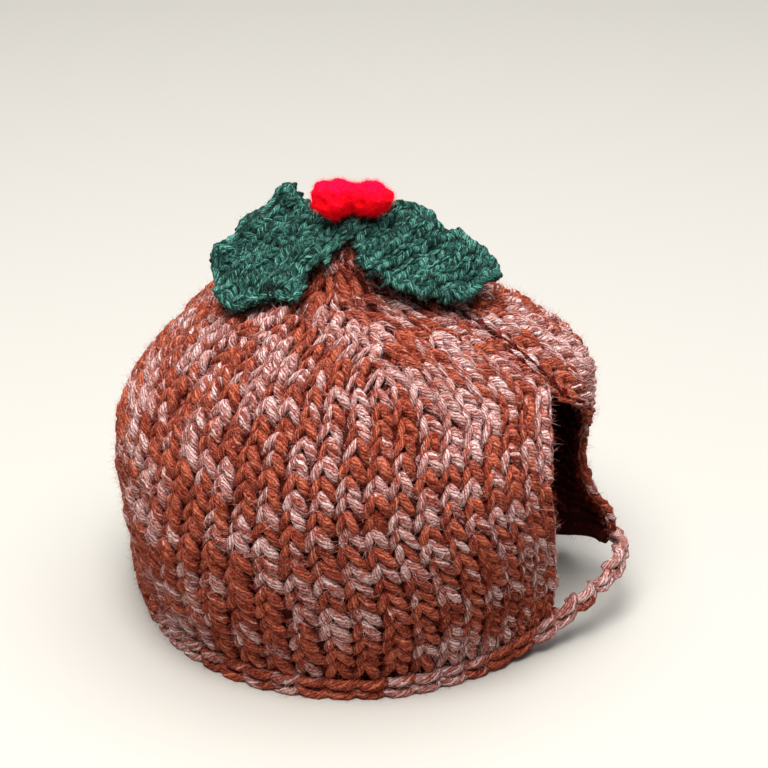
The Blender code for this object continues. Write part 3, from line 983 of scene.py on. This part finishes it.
def berry_ball(name, spec, material, seed):
    """A plump felted ball with lumps where the wool was rolled, pressed against its neighbour."""
    bm = bmesh.new()
    bmesh.ops.create_icosphere(bm, subdivisions=5, radius=1.0)
    rng = np.random.default_rng(seed)
    directions = np.array([v.co[:] for v in bm.verts])
    plump = (np.abs(directions) ** BERRY_BLUNT).sum(1) ** (-1 / BERRY_BLUNT)
    waves = np.zeros(len(directions))
    for scale, size, count in BERRY_LUMPS:
        for _ in range(count):
            toward = rng.normal(0.0, 1.0, 3)
            toward /= np.linalg.norm(toward)
            waves += size * np.sin(scale * directions @ toward + rng.uniform(0.0, 2 * math.pi)) / 1.6
    radius = plump / plump.max() * 1.13 * (1 + waves)
    # The far end from the neighbour is drawn out to a blunt point.
    drawn = 1.0 - spec["taper"] * smooth_step(directions[:, 0] * spec["far"], 0.1, 1.0)
    points = directions * radius[:, None] * np.array(spec["half"])
    points[:, 1:] *= drawn[:, None]
    points += np.array(spec["centre"])
    for vert, point in zip(bm.verts, trim_points(points)):
        vert.co = point
    bmesh.ops.recalc_face_normals(bm, faces=bm.faces[:])
    obj = linked(name, bpy.data.meshes.new(name))
    bm.to_mesh(obj.data)
    bm.free()
    obj.data.materials.append(material)
    obj.data.shade_smooth()
    give(obj, "height", np.zeros(len(obj.data.vertices)), "FLOAT")
    return obj


# ---------------------------------------------------------------- fuzz


def hair_grain(name, rings, curl):
    """One fine hair, a closed three-sided spike, a unit long, that starts along Z and bends by curl."""
    points, faces = [], []
    for k in range(rings):
        t = k / rings
        bend = curl * t
        centre = np.array((math.sin(bend) * t * 0.7, 0.25 * math.sin(2.6 * t) * t, t * math.cos(0.6 * bend)))
        for corner in range(3):
            turn = 2 * math.pi * corner / 3
            aside = np.array((math.cos(turn), math.sin(turn), 0.0))
            points.append(centre + HAIR_WIDTH * (1.0 - 0.7 * t) * aside)
    points.append((math.sin(curl) * 0.7, 0.25 * math.sin(2.6), math.cos(0.6 * curl)))
    for k in range(rings - 1):
        for corner in range(3):
            after = (corner + 1) % 3
            faces.append((3 * k + corner, 3 * k + after, 3 * k + 3 + after, 3 * k + 3 + corner))
    top = 3 * rings - 3
    faces += [(top + corner, top + (corner + 1) % 3, top + 3) for corner in range(3)]
    faces.append((2, 1, 0))
    obj = mesh_object(name, points, faces)
    obj.hide_render = True
    return obj


def fuzz_tree():
    """Scatters bent hairs over the mesh's faces, leaning over, where its surface lies high enough."""
    inputs = {"Hair": "Object", "Curled hair": "Object", "Fuzz": "Material"}
    inputs |= dict.fromkeys(("Density", "Longest", "Lean", "Least height"), "Float")
    tree, node, given = new_group("Fuzz", {**inputs, "Seed": "Int"})
    height = node(ATTRIBUTE, {"Name": "height"}, data_type="FLOAT")
    high = node("FunctionNodeCompare", {"A": height, "B": given["Least height"]}, operation="GREATER_THAN")
    spread = node(
        "GeometryNodeDistributePointsOnFaces",
        {"Mesh": given["Geometry"], "Selection": high, "Density": given["Density"], "Seed": given["Seed"]},
    ).node.outputs
    turned = node("FunctionNodeAlignRotationToVector", {"Vector": spread["Normal"]}, axis="Z")
    lean = node(RANDOM, {"Min": 0.0, "Max": given["Lean"], "Seed": 3}, data_type="FLOAT")
    swing = node(RANDOM, {"Min": 0.0, "Max": 2 * math.pi, "Seed": 5}, data_type="FLOAT")
    tilt = node("FunctionNodeEulerToRotation", {0: node("ShaderNodeCombineXYZ", {0: lean, 2: swing})})
    turned = node("FunctionNodeRotateRotation", {0: turned, 1: tilt}, rotation_space="LOCAL")
    length = node(RANDOM, {"Min": SHORTEST_HAIR, "Max": 1.0, "Seed": 7}, data_type="FLOAT")
    length = node(MATH, {0: length, 1: given["Longest"]}, operation="MULTIPLY")
    straight = node(RANDOM, {"Probability": STRAIGHT_HAIRS, "Seed": 11}, data_type="BOOLEAN")
    curled = node("FunctionNodeBooleanMath", {0: straight}, operation="NOT")
    choices = ((given["Hair"], straight), (given["Curled hair"], curled))
    real = stood_on(tree, spread["Points"], choices, Rotation=turned, Scale=length)
    # No hair goes below the floor.
    level = {0: node("GeometryNodeInputPosition"), 1: (-9.0, -9.0, 0.2 * MM)}
    level = node(VECTOR, level, operation="MAXIMUM")
    real = node("GeometryNodeSetPosition", {"Geometry": real, "Position": level})
    real = node("GeometryNodeSetMaterial", {"Geometry": real, "Material": given["Fuzz"]})
    node("NodeGroupOutput", {0: real})
    return tree


def fuzz_over(name, bodies, tree, inputs):
    """Hairs all over these objects' surfaces, as one plain object."""
    bm = bmesh.new()
    for body in bodies:
        bm.from_mesh(body.data)
    base = linked(f"{name}_base", bpy.data.meshes.new(f"{name}_base"))
    bm.to_mesh(base.data)
    bm.free()
    return grown(name, base, tree, inputs)


# ---------------------------------------------------------------- materials


def wool(name, darks, lights, twist, sunk, gaps, contrast, depth=0.35, mixed=0.4):
    """Plied wool: strands wound round the yarn, each with its own shade, with fine fibres and painted shadow
    in the valleys between them.

    darks and lights are each a colour's painted shadow and face; dye 0 takes the first, dye 1 the second.
    sunk is the depth (mm) where the yarn's painted shade is deepest and where it ends. mixed is how far one
    strand's shade is from the next one's, and gaps how wide the painted valleys between them are.
    """
    material, node, shade_with = new_finish(name)
    across, along, _ = node(SPLIT, {0: node("ShaderNodeUVMap", uv_map="yarn")}).node.outputs
    dye = node("ShaderNodeAttribute", attribute_name="dye").node.outputs["Vector"]
    first_dye, last_dye, shade = node(SPLIT, {0: dye}).node.outputs
    height = node("ShaderNodeAttribute", attribute_name="height").node.outputs["Fac"]
    place = node("ShaderNodeTexCoord").node.outputs["Object"]

    # Where this point lies among the strands, which waver a little.
    strand = node(MATH, {0: along, 1: -twist}, operation="MULTIPLY")
    strand = node(MATH, {0: across, 1: STRANDS, 2: strand}, operation="MULTIPLY_ADD")
    strand = node(MATH, {0: shade, 1: 7.0, 2: strand}, operation="MULTIPLY_ADD")
    for length, reach in ((2.4, 1.3), (0.7, 0.7)):
        waver = node(NOISE, {"Vector": place, "Scale": 1 / (length * MM), "Detail": 1.0})
        strand = node(MATH, {0: waver, 1: reach, 2: strand}, operation="MULTIPLY_ADD")
    crown = node(MATH, {0: strand}, operation="FRACT")
    crown = node(MATH, {0: crown, 1: math.pi}, operation="MULTIPLY")
    crown = node(MATH, {0: crown}, operation="SINE")
    crown = node(MATH, {0: crown, 1: 0.6}, operation="POWER")
    number = node(MATH, {0: strand}, operation="FLOOR")
    number = node(MATH, {0: shade, 1: 31.7, 2: number}, operation="MULTIPLY_ADD")
    own = node("ShaderNodeTexWhiteNoise", {"W": number}, noise_dimensions="1D")

    # Fibres run with the strands, a third of a strand apart, and clump into flecks of 1.3 mm.
    run = node("ShaderNodeCombineXYZ", {0: strand, 1: along, 2: shade})
    run = node(VECTOR, {0: run, 1: (3.4, 4.0, 40.0)}, operation="MULTIPLY")
    fibre = node(NOISE, {"Vector": run, "Scale": 1.0, "Detail": 3.0, "Roughness": 0.65})
    fleck = node(NOISE, {"Vector": place, "Scale": 1 / (1.3 * MM), "Detail": 3.0, "Roughness": 0.75})

    # The dye changes along the leg, strand by strand, and the dyer's splashes don't end where a stitch does.
    splash = node(NOISE, {"Vector": place, "Scale": 1 / (4.5 * MM), "Detail": 1.0})
    tint = node(MIX, {"Factor": along, "A": first_dye, "B": last_dye}, data_type="FLOAT")
    for part, weight in ((own, 0.5), (fibre, 0.7), (fleck, 0.4), (splash, 1.1)):
        tint = node(MATH, {0: part, 1: weight, 2: tint}, operation="MULTIPLY_ADD")
    tint = node(RANGE, {"Value": tint, "From Min": 1.66, "From Max": 2.04}, interpolation_type="SMOOTHSTEP")
    bright = node(MATH, {0: own, 1: mixed}, operation="MULTIPLY")
    for part, weight in ((fibre, 1.1), (fleck, 0.9)):
        bright = node(MATH, {0: part, 1: weight, 2: bright}, operation="MULTIPLY_ADD")
    middle = 1.0 + 0.5 * mixed
    low, high = middle - contrast[0], middle + contrast[1]
    bright = node(RANGE, {"Value": bright, "From Min": low, "From Max": high})
    faces = [
        node(MIX, {"Factor": bright, "A": linear(low), "B": linear(high)}, data_type="RGBA")
        for low, high in lights
    ]
    face = node(MIX, {"Factor": tint, "A": faces[0], "B": faces[1]}, data_type="RGBA")
    valley_shadow_colour = node(MIX, {"Factor": tint, "A": linear(darks[0]), "B": linear(darks[1])}, data_type="RGBA")
    # Painted shadow in the valleys between the strands. Some strands lie open and some are matted together,
    # which partly fills it.
    matted = node(NOISE, {"Vector": place, "Scale": 1 / (2.4 * MM), "Detail": 2.0})
    matted = node(RANGE, {"Value": matted, "From Min": 0.3, "From Max": 0.62, "To Min": 0.25})
    painted_valley_shadow = {"Value": crown, "From Min": gaps, "From Max": gaps - 0.6}
    painted_valley_shadow = node(RANGE, painted_valley_shadow, interpolation_type="SMOOTHSTEP")
    for weaker in (matted, node(RANGE, {"Value": tint, "To Min": 0.9})):
        painted_valley_shadow = node(MATH, {0: painted_valley_shadow, 1: weaker}, operation="MULTIPLY")
    colour = node(MIX, {"Factor": painted_valley_shadow, "A": face, "B": valley_shadow_colour}, data_type="RGBA")
    # Stray fibres lie across the strands in long thin curves. Real ones are a fortieth of a millimetre
    # thick: these are drawn several times as thick, to show at all.
    strays = (
        # (curl mm, start, colour, strength, half width)
        (3.0, 0.0, lights[1][0], 0.3, 0.012),
        (2.4, 5.0, lights[0][1], 0.5, 0.012),
        (2.7, 9.0, darks[0], 0.55, 0.014),
        (1.4, 13.0, lights[1][1], 0.2, 0.014),
        (1.7, 17.0, lights[0][0], 0.6, 0.02),
    )
    for curl, start, code, strength, half in strays:
        curve = {"Vector": place, "W": start, "Scale": 1 / (curl * MM), "Detail": 1.0}
        curve = node(NOISE, curve, noise_dimensions="4D")
        curve = node(MATH, {0: curve, 1: 0.5}, operation="SUBTRACT")
        curve = node(MATH, {0: curve}, operation="ABSOLUTE")
        curve = node(RANGE, {"Value": curve, "From Min": half, "From Max": half / 4, "To Max": strength})
        colour = node(MIX, {"Factor": curve, "A": colour, "B": linear(code)}, data_type="RGBA")
    # Painted shade: the yarn's sunken ends are darkened, green and blue most, as though less light reached
    # them.
    lit = {"Value": height, "From Min": sunk[0] * MM, "From Max": sunk[1] * MM, "To Min": SUNK_LIGHT}
    lit = node(RANGE, lit, interpolation_type="SMOOTHSTEP")
    dull = node(MATH, {0: lit, 1: 2.6}, operation="POWER")
    lit = node("ShaderNodeCombineColor", {0: lit, 1: dull, 2: dull})
    colour = node(MIX, {"Factor": 1.0, "A": colour, "B": lit}, data_type="RGBA", blend_type="MULTIPLY")

    relief = node(MATH, {0: fibre, 1: 0.8, 2: crown}, operation="MULTIPLY_ADD")
    bump = node("ShaderNodeBump", {"Strength": 0.9, "Distance": depth * MM, "Height": relief})
    shade_with({"Base Color": colour, "Normal": bump, "Roughness": 0.85, "Specular IOR Level": 0.05})
    shade_with({"Sheen Weight": 0.015, "Sheen Roughness": 0.45})
    return material


def fuzz_wool(name, dark, light):
    """Loose fibres that stand off the yarn, dyed as the yarn that each grows from."""
    material, node, shade_with = new_finish(name)
    place = node("ShaderNodeTexCoord").node.outputs["Object"]
    dye = node("ShaderNodeAttribute", attribute_name="dye").node.outputs["Vector"]
    first_dye, last_dye, _ = node(SPLIT, {0: dye}).node.outputs
    tone = node(NOISE, {"Vector": place, "Scale": 1 / (3.0 * MM), "Detail": 1.0})
    tone = node(MATH, {0: tone, 1: 1.6, 2: first_dye}, operation="MULTIPLY_ADD")
    tone = node(MATH, {0: tone, 1: last_dye})
    tone = node(RANGE, {"Value": tone, "From Min": 1.1, "From Max": 2.5})
    colour = node(MIX, {"Factor": tone, "A": linear(dark), "B": linear(light)}, data_type="RGBA")
    shade_with({"Base Color": colour, "Roughness": 0.7, "Specular IOR Level": 0.2})
    return material


def plain_wool(name, code):
    """The cloth behind the stitches, its flat colour a painted shadow."""
    material, _, shade_with = new_finish(name)
    shade_with({"Base Color": linear(code), "Roughness": 0.95, "Specular IOR Level": 0.1})
    return material


def felted_red(name, low, high, pink, mat=0.9, fleck=0.12):
    """Felted red wool: matted fibres over a soft surface, painted pinker on top as a painted sheen.

    mat is the size of the mats in mm, and fleck how strongly pale fibres show.
    """
    material, node, shade_with = new_finish(name)
    place = node("ShaderNodeTexCoord").node.outputs["Object"]
    matted = node(NOISE, {"Vector": place, "Scale": 1 / (mat * MM), "Detail": 4.0, "Distortion": 1.8})
    lumps = node(NOISE, {"Vector": place, "Scale": 1 / (3.0 * MM), "Detail": 2.0})
    tone = node(MATH, {0: matted, 1: lumps}, operation="MULTIPLY")
    tone = node(RANGE, {"Value": tone, "From Min": 0.15, "From Max": 0.36}, interpolation_type="SMOOTHSTEP")
    colour = node(MIX, {"Factor": tone, "A": linear(low), "B": linear(high)}, data_type="RGBA")
    # Painted sheen: the felt turns pinker between two heights near its top, along a wavy line.
    _, _, level = node(SPLIT, {0: place}).node.outputs
    for part, reach in ((lumps, 7.0 * MM), (matted, 9.0 * MM)):
        level = node(MATH, {0: part, 1: reach, 2: level}, operation="MULTIPLY_ADD")
    painted_sheen = {"Value": level, "From Min": BERRY_SHEEN_HEIGHTS[0], "From Max": BERRY_SHEEN_HEIGHTS[1]}
    painted_sheen = node(RANGE, painted_sheen, interpolation_type="SMOOTHSTEP")
    colour = node(MIX, {"Factor": painted_sheen, "A": colour, "B": linear(pink)}, data_type="RGBA")
    pale = node(NOISE, {"Vector": place, "Scale": 1 / (0.55 * MM), "Detail": 3.0, "Roughness": 0.7})
    pale = node(RANGE, {"Value": pale, "From Min": 0.54, "From Max": 0.68, "To Max": fleck})
    colour = node(MIX, {"Factor": pale, "A": colour, "B": linear("#FF5488")}, data_type="RGBA")
    deep = node(NOISE, {"Vector": place, "Scale": 1 / (1.2 * MM), "Detail": 3.0, "Roughness": 0.7})
    deep = node(RANGE, {"Value": deep, "From Min": 0.34, "From Max": 0.48, "To Min": 0.76})
    colour = node(MIX, {"Factor": 1.0, "A": colour, "B": deep}, data_type="RGBA", blend_type="MULTIPLY")
    relief = node(MATH, {0: lumps, 1: 2.0, 2: matted}, operation="MULTIPLY_ADD")
    bump = node("ShaderNodeBump", {"Strength": 0.7, "Distance": 0.6 * MM, "Height": relief})
    shade_with({"Base Color": colour, "Normal": bump, "Roughness": 0.95, "Specular IOR Level": 0.05})
    shade_with({"Sheen Weight": 0.06, "Sheen Roughness": 0.5, "Sheen Tint": linear("#FF2A9C")})
    return material


# ---------------------------------------------------------------- making


def camera_and_light():
    camera = bpy.data.cameras.new("camera")
    camera.sensor_fit = "HORIZONTAL"
    camera.sensor_width = SENSOR
    camera.lens = CAMERA_FOCUS / RENDER_WIDTH * SENSOR
    camera.shift_x, camera.shift_y = (shift / RENDER_WIDTH for shift in CAMERA_SHIFT)
    camera.clip_start = 0.05
    camera.clip_end = 20.0
    obj = linked("camera", camera)
    turn, rise = math.radians(CAMERA_TURN), math.radians(CAMERA_RISE)
    away = np.array((math.sin(turn) * math.cos(rise), -math.cos(turn) * math.cos(rise), math.sin(rise)))
    obj.location = np.array(CAMERA_AIM) - ORIGIN + CAMERA_AWAY * away
    obj.rotation_euler = (math.radians(90.0 - CAMERA_RISE), 0.0, turn)
    bpy.context.scene.camera = obj

    for name, place, size, power, colour in LAMPS:
        light = bpy.data.lights.new(name, "AREA")
        light.shape = "DISK"
        light.size = size
        light.energy = power
        light.color = colour
        lamp = linked(name, light)
        lamp.location = place
        direction = np.array(place) - np.array(LAMP_AIM)
        pitch = math.atan2(math.hypot(direction[0], direction[1]), direction[2])
        lamp.rotation_euler = (pitch, 0.0, math.atan2(direction[0], -direction[1]))
    world = bpy.data.worlds.new("studio")
    world.use_nodes = True
    light = {"Color": (0.92, 0.95, 1.0, 1.0), "Strength": 0.2}
    fill(world.node_tree, world.node_tree.nodes["Background"], light)
    bpy.context.scene.world = world
    bpy.context.scene.view_settings.view_transform = "Standard"

    floor = mesh_object("floor", [(-3, -3, 0), (3, -3, 0), (3, 3, 0), (-3, 3, 0)], [(0, 1, 2, 3)])
    # Pale paint: a plain ground with no shine.
    paint, _, shade_with = new_finish("pale_floor")
    shade_with({"Base Color": linear("#B2AEA6"), "Roughness": 0.8})
    floor.data.materials.append(paint)


def finish_piece(obj, replaced=None):
    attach(obj, "root")
    if replaced:
        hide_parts(replaced)


def main():
    camera_and_light()
    knitting, fuzzing = knit_tree(), fuzz_tree()
    # Space-dyed wool, plied: soft matt cords, streaked by their twist, that turn from rust to pale pink, with
    # painted shade in their valleys and sunken ends.
    marled = wool(
        "marled_wool",
        darks=("#5A0E04", "#741F12"),
        lights=(("#60180A", "#C8694A"), ("#90473A", "#E2CBC7")),
        twist=8.6,
        sunk=(-4.0, -1.0),
        gaps=0.9,
        contrast=(0.18, 0.3),
    )
    # The same wool behind the stitches: a flat dark brown, a painted shadow between them.
    shadow = plain_wool("marled_wool_backing_shadow", "#3A0F07")
    # Dark green wool, plied: finer matt cords, in streaks from near black to sea green, with painted shade in
    # their valleys and sunken ends.
    green = wool(
        "green_wool",
        darks=("#010B09", "#03100C"),
        lights=(("#0C241F", "#42776A"), ("#0D2923", "#62A292")),
        twist=7.0,
        sunk=(-1.7, -0.2),
        gaps=1.03,
        contrast=(0.16, 0.26),
        depth=0.36,
        mixed=0.6,
    )
    # The green wool behind the stitches: a flat dark green, a painted shadow between them.
    green_shadow = plain_wool("green_wool_backing_shadow", "#0A241F")
    # Felted red wool: a strong red with no shine, under a fine nap, with a painted pink sheen on top.
    red = felted_red("red_wool_felt", "#EE0008", "#FC0412", "#F8043A")
    red_fuzz = felted_red("red_wool_fuzz", "#EE020A", "#FC0616", "#FA0846", mat=0.5, fleck=0.3)
    # Loose wool fibres: a soft pale haze round every edge.
    rust_fuzz = fuzz_wool("marled_wool_fuzz", "#9C4029", "#D0A79F")
    green_fuzz = fuzz_wool("green_wool_fuzz", "#183F37", "#4A8073")
    grains = {name: yarn_grain(name, **shape) for name, shape in LEGS.items()}
    hairs = {"Hair": hair_grain("hair", 1, 0.9), "Curled hair": hair_grain("curled_hair", 2, 2.4)}

    def laid(name, legs, left, right, ground, material):
        return knitted(name, legs, (grains[left], grains[right]), ground, knitting, material)

    def fuzz_on(name, bodies, kind, material, seed):
        return fuzz_over(name, bodies, fuzzing, {**hairs, **FUZZ[kind], "Fuzz": material, "Seed": seed})

    for number, (node, (side, slits)) in enumerate(PANELS.items()):
        rng = np.random.default_rng(11 + number)
        ground, grid, out = panel_surface(f"{node}_face", side, slits)
        foot, foot_grid = hem_surface(f"{node}_foot", side)
        legs = panel_stitches(rng, slits, side)
        hem_legs = hem_stitches(rng, foot_grid, side)
        knit = laid(f"{node}_knit", legs, "left_leg", "right_leg", ground, marled)
        hem = laid(f"{node}_hem", hem_legs, "hem_upper", "hem_lower", foot, marled)
        purl = laid(f"{node}_purl", purl_side(legs), "purl_bump", "purl_bump", ground, marled)
        grid, out = grid[::2, ::2], out[::2, ::2]
        radii, _ = on_meridian(np.linspace(0.0, LENGTH, len(grid)))
        inner = grid - out * (BACKING_DEPTH * slimmed(radii))[:, None, None]
        cloth = cloth_sheet(f"{node}_cloth", inner, BACKING_THICK, shadow)
        fuzz = fuzz_on(f"{node}_fuzz", (knit, hem), "panel", rust_fuzz, 5 + number)
        for obj in (knit, purl, hem, fuzz):
            finish_piece(obj)
        finish_piece(cloth, node)
        discard(ground, foot)

    for number, (node, leaf) in enumerate(LEAVES.items()):
        rng = np.random.default_rng(31 + number)
        knits = []
        for side, label in ((1, "upper"), (-1, "lower")):
            ground = leaf_surface(f"{node}_{label}", leaf, side)
            body, edge = leaf_stitches(rng, leaf, side)
            knits.append(laid(f"{node}_{label}_knit", body, "leaf_left_leg", "leaf_right_leg", ground, green))
            if side == 1:
                knits.append(laid(f"{node}_edge", edge, "leaf_edge_leg", "leaf_edge_leg", ground, green))
            lift_shadow(knits[-1], EDGE_LIGHT if side == 1 else UNDER_LIGHT)
            discard(ground)
        cloth = cloth_sheet(f"{node}_cloth", leaf_grid(leaf), LEAF_CLOTH, green_shadow)
        fuzz = fuzz_on(f"{node}_fuzz", knits, "leaf", green_fuzz, 15 + number)
        for obj in (*knits, fuzz):
            finish_piece(obj)
        finish_piece(cloth, node)

    for number, (node, spec) in enumerate(BERRIES.items()):
        ball = berry_ball(f"{node}_ball", spec, red, 41 + number)
        fuzz = fuzz_on(f"{node}_fuzz", (ball,), "berry", red_fuzz, 25 + number)
        finish_piece(ball, node)
        finish_piece(fuzz)
    discard(*grains.values(), *hairs.values())


main()
